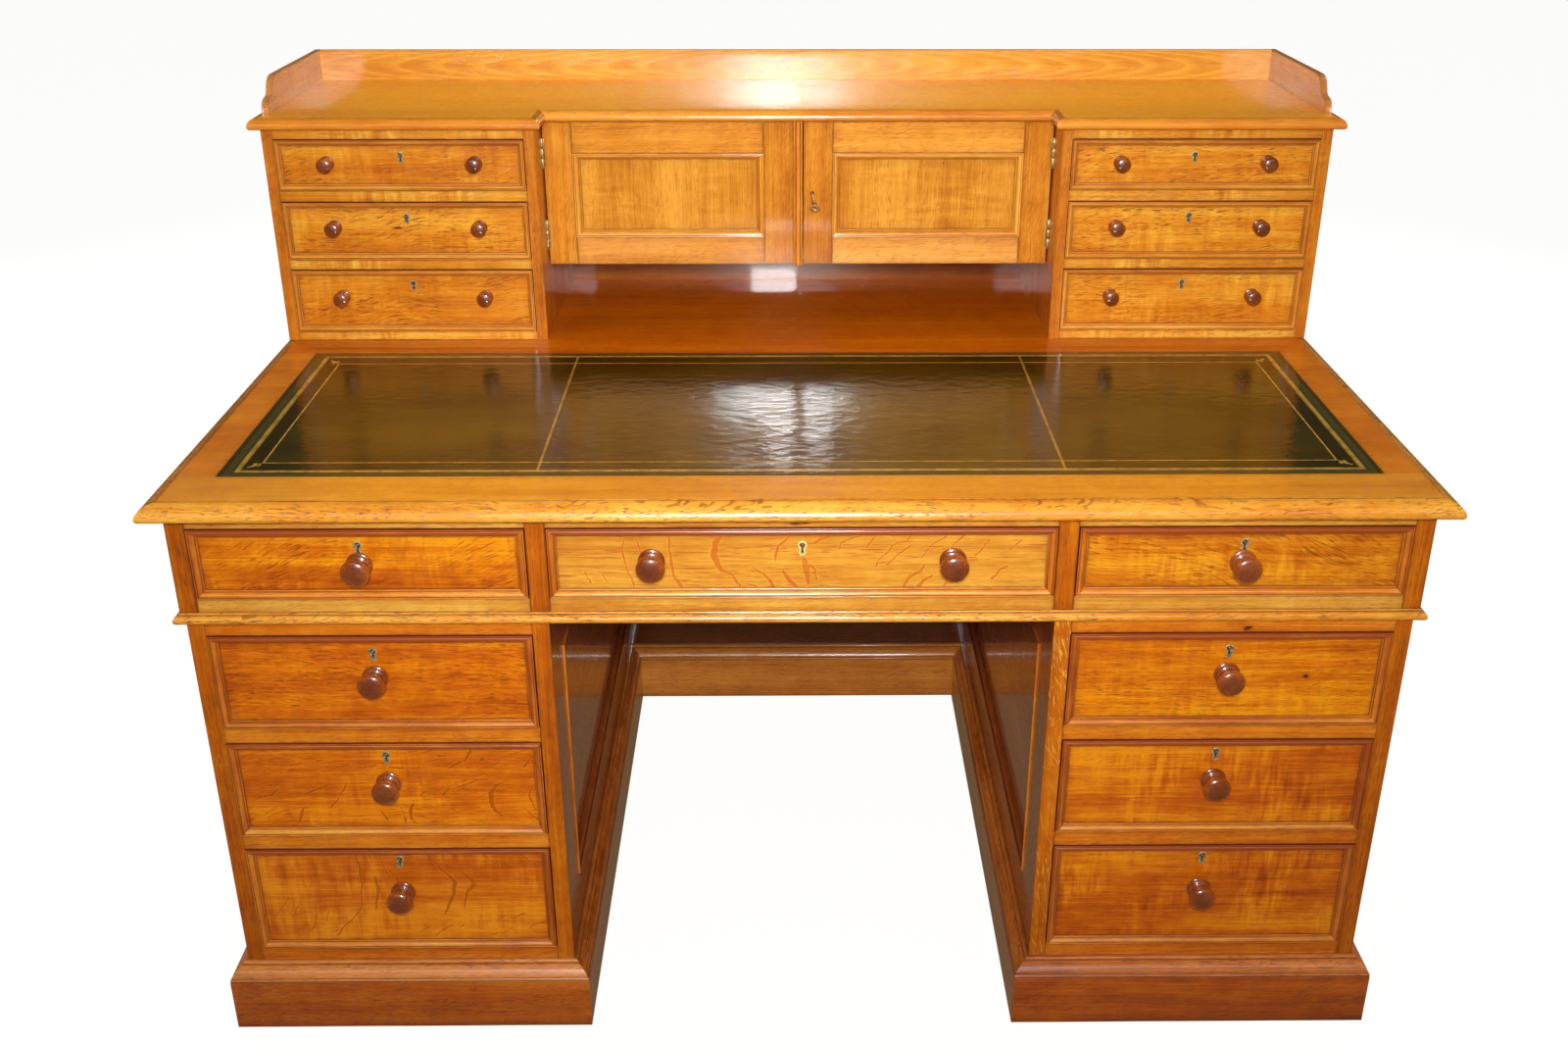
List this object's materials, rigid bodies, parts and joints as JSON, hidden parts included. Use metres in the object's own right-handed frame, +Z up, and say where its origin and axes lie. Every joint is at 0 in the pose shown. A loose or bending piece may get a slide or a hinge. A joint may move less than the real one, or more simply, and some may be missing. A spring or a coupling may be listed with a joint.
{
  "type": "pedestal desk",
  "caption": "Oak pedestal writing desk with a leather inset, drawers in frieze, pedestals and raised wings, a cupboard over a pigeon space, and a low gallery.",
  "frame": {"origin": "on the floor, centre of the overall footprint (knob faces to back edge, top to top)", "axes": "+X to the right of a sitter, +Y towards the back, +Z up; the drawers open towards -Y"},
  "size_m": [1.53, 0.93, 1.135],
  "materials": {
    "oak": "waxed golden oak, satin to glossy",
    "oak_dark": "darker waxed oak of the plinth",
    "leather": "dark green skiver, gilt tooled, glossy",
    "brass": "aged brass",
    "steel": "worn key"
  },
  "bodies": {
    "carcass": {"writing_top": "oak", "leather_inset": "leather", "frieze_ends": "oak", "frieze_rails": "oak", "frieze_interior": "oak", "case_backs": "oak", "waist_moulding": "oak", "left_pedestal_sides": "oak", "right_pedestal_sides": "oak", "left_pedestal_rails": "oak", "right_pedestal_rails": "oak", "pedestal_runners": "oak", "kneehole_back": "oak", "left_plinth": "oak_dark", "right_plinth": "oak_dark", "rear_plinth": "oak_dark", "upper_sides": "oak", "upper_rails": "oak", "upper_back": "oak", "upper_boards": "oak", "upper_top": "oak", "gallery": "oak", "hinge_leaves": "brass"},
    "left_wing_1": {"left_wing_1_drawer": "oak", "left_wing_1_lock": "brass"},
    "left_wing_2": {"left_wing_2_drawer": "oak", "left_wing_2_lock": "brass"},
    "left_wing_3": {"left_wing_3_drawer": "oak", "left_wing_3_lock": "brass"},
    "left_pedestal_1": {"left_pedestal_1_drawer": "oak", "left_pedestal_1_lock": "brass"},
    "left_pedestal_2": {"left_pedestal_2_drawer": "oak", "left_pedestal_2_lock": "brass"},
    "left_pedestal_3": {"left_pedestal_3_drawer": "oak", "left_pedestal_3_lock": "brass"},
    "left_frieze": {"left_frieze_drawer": "oak", "left_frieze_lock": "brass"},
    "right_wing_1": {"right_wing_1_drawer": "oak", "right_wing_1_lock": "brass"},
    "right_wing_2": {"right_wing_2_drawer": "oak", "right_wing_2_lock": "brass"},
    "right_wing_3": {"right_wing_3_drawer": "oak", "right_wing_3_lock": "brass"},
    "right_pedestal_1": {"right_pedestal_1_drawer": "oak", "right_pedestal_1_lock": "brass"},
    "right_pedestal_2": {"right_pedestal_2_drawer": "oak", "right_pedestal_2_lock": "brass"},
    "right_pedestal_3": {"right_pedestal_3_drawer": "oak", "right_pedestal_3_lock": "brass"},
    "right_frieze": {"right_frieze_drawer": "oak", "right_frieze_lock": "brass"},
    "centre_frieze": {"centre_frieze_drawer": "oak", "centre_frieze_lock": "brass"},
    "left_door": {"left_door": "oak", "left_door_hinges": "brass"},
    "right_door": {"right_door": "oak", "right_door_hinges": "brass", "cupboard_lock": "brass"},
    "key": {"key": "steel"}
  },
  "joints": [
    {"name": "left_wing_1_slide", "type": "slide", "parent": "carcass", "child": "left_wing_1", "axis": [0, -1, 0], "range_m": [0, 0.2]},
    {"name": "left_wing_2_slide", "type": "slide", "parent": "carcass", "child": "left_wing_2", "axis": [0, -1, 0], "range_m": [0, 0.2]},
    {"name": "left_wing_3_slide", "type": "slide", "parent": "carcass", "child": "left_wing_3", "axis": [0, -1, 0], "range_m": [0, 0.2]},
    {"name": "left_pedestal_1_slide", "type": "slide", "parent": "carcass", "child": "left_pedestal_1", "axis": [0, -1, 0], "range_m": [0, 0.5]},
    {"name": "left_pedestal_2_slide", "type": "slide", "parent": "carcass", "child": "left_pedestal_2", "axis": [0, -1, 0], "range_m": [0, 0.5]},
    {"name": "left_pedestal_3_slide", "type": "slide", "parent": "carcass", "child": "left_pedestal_3", "axis": [0, -1, 0], "range_m": [0, 0.5]},
    {"name": "left_frieze_slide", "type": "slide", "parent": "carcass", "child": "left_frieze", "axis": [0, -1, 0], "range_m": [0, 0.45]},
    {"name": "right_wing_1_slide", "type": "slide", "parent": "carcass", "child": "right_wing_1", "axis": [0, -1, 0], "range_m": [0, 0.2]},
    {"name": "right_wing_2_slide", "type": "slide", "parent": "carcass", "child": "right_wing_2", "axis": [0, -1, 0], "range_m": [0, 0.2]},
    {"name": "right_wing_3_slide", "type": "slide", "parent": "carcass", "child": "right_wing_3", "axis": [0, -1, 0], "range_m": [0, 0.2]},
    {"name": "right_pedestal_1_slide", "type": "slide", "parent": "carcass", "child": "right_pedestal_1", "axis": [0, -1, 0], "range_m": [0, 0.5]},
    {"name": "right_pedestal_2_slide", "type": "slide", "parent": "carcass", "child": "right_pedestal_2", "axis": [0, -1, 0], "range_m": [0, 0.5]},
    {"name": "right_pedestal_3_slide", "type": "slide", "parent": "carcass", "child": "right_pedestal_3", "axis": [0, -1, 0], "range_m": [0, 0.5]},
    {"name": "right_frieze_slide", "type": "slide", "parent": "carcass", "child": "right_frieze", "axis": [0, -1, 0], "range_m": [0, 0.45]},
    {"name": "centre_frieze_slide", "type": "slide", "parent": "carcass", "child": "centre_frieze", "axis": [0, -1, 0], "range_m": [0, 0.45]},
    {"name": "left_door_hinge", "type": "hinge", "parent": "carcass", "child": "left_door", "pos_m": [-0.369, 0.198, 0.9685], "axis": [0, 0, -1], "range_deg": [0, 90]},
    {"name": "right_door_hinge", "type": "hinge", "parent": "carcass", "child": "right_door", "pos_m": [0.369, 0.198, 0.9685], "axis": [0, 0, 1], "range_deg": [0, 90]},
    {"name": "key_turn", "type": "hinge", "parent": "right_door", "child": "key", "pos_m": [0.0207, 0.201, 0.9692], "axis": [0.0609, -0.9763, -0.2075], "range_deg": [0, 90]}
  ]
}
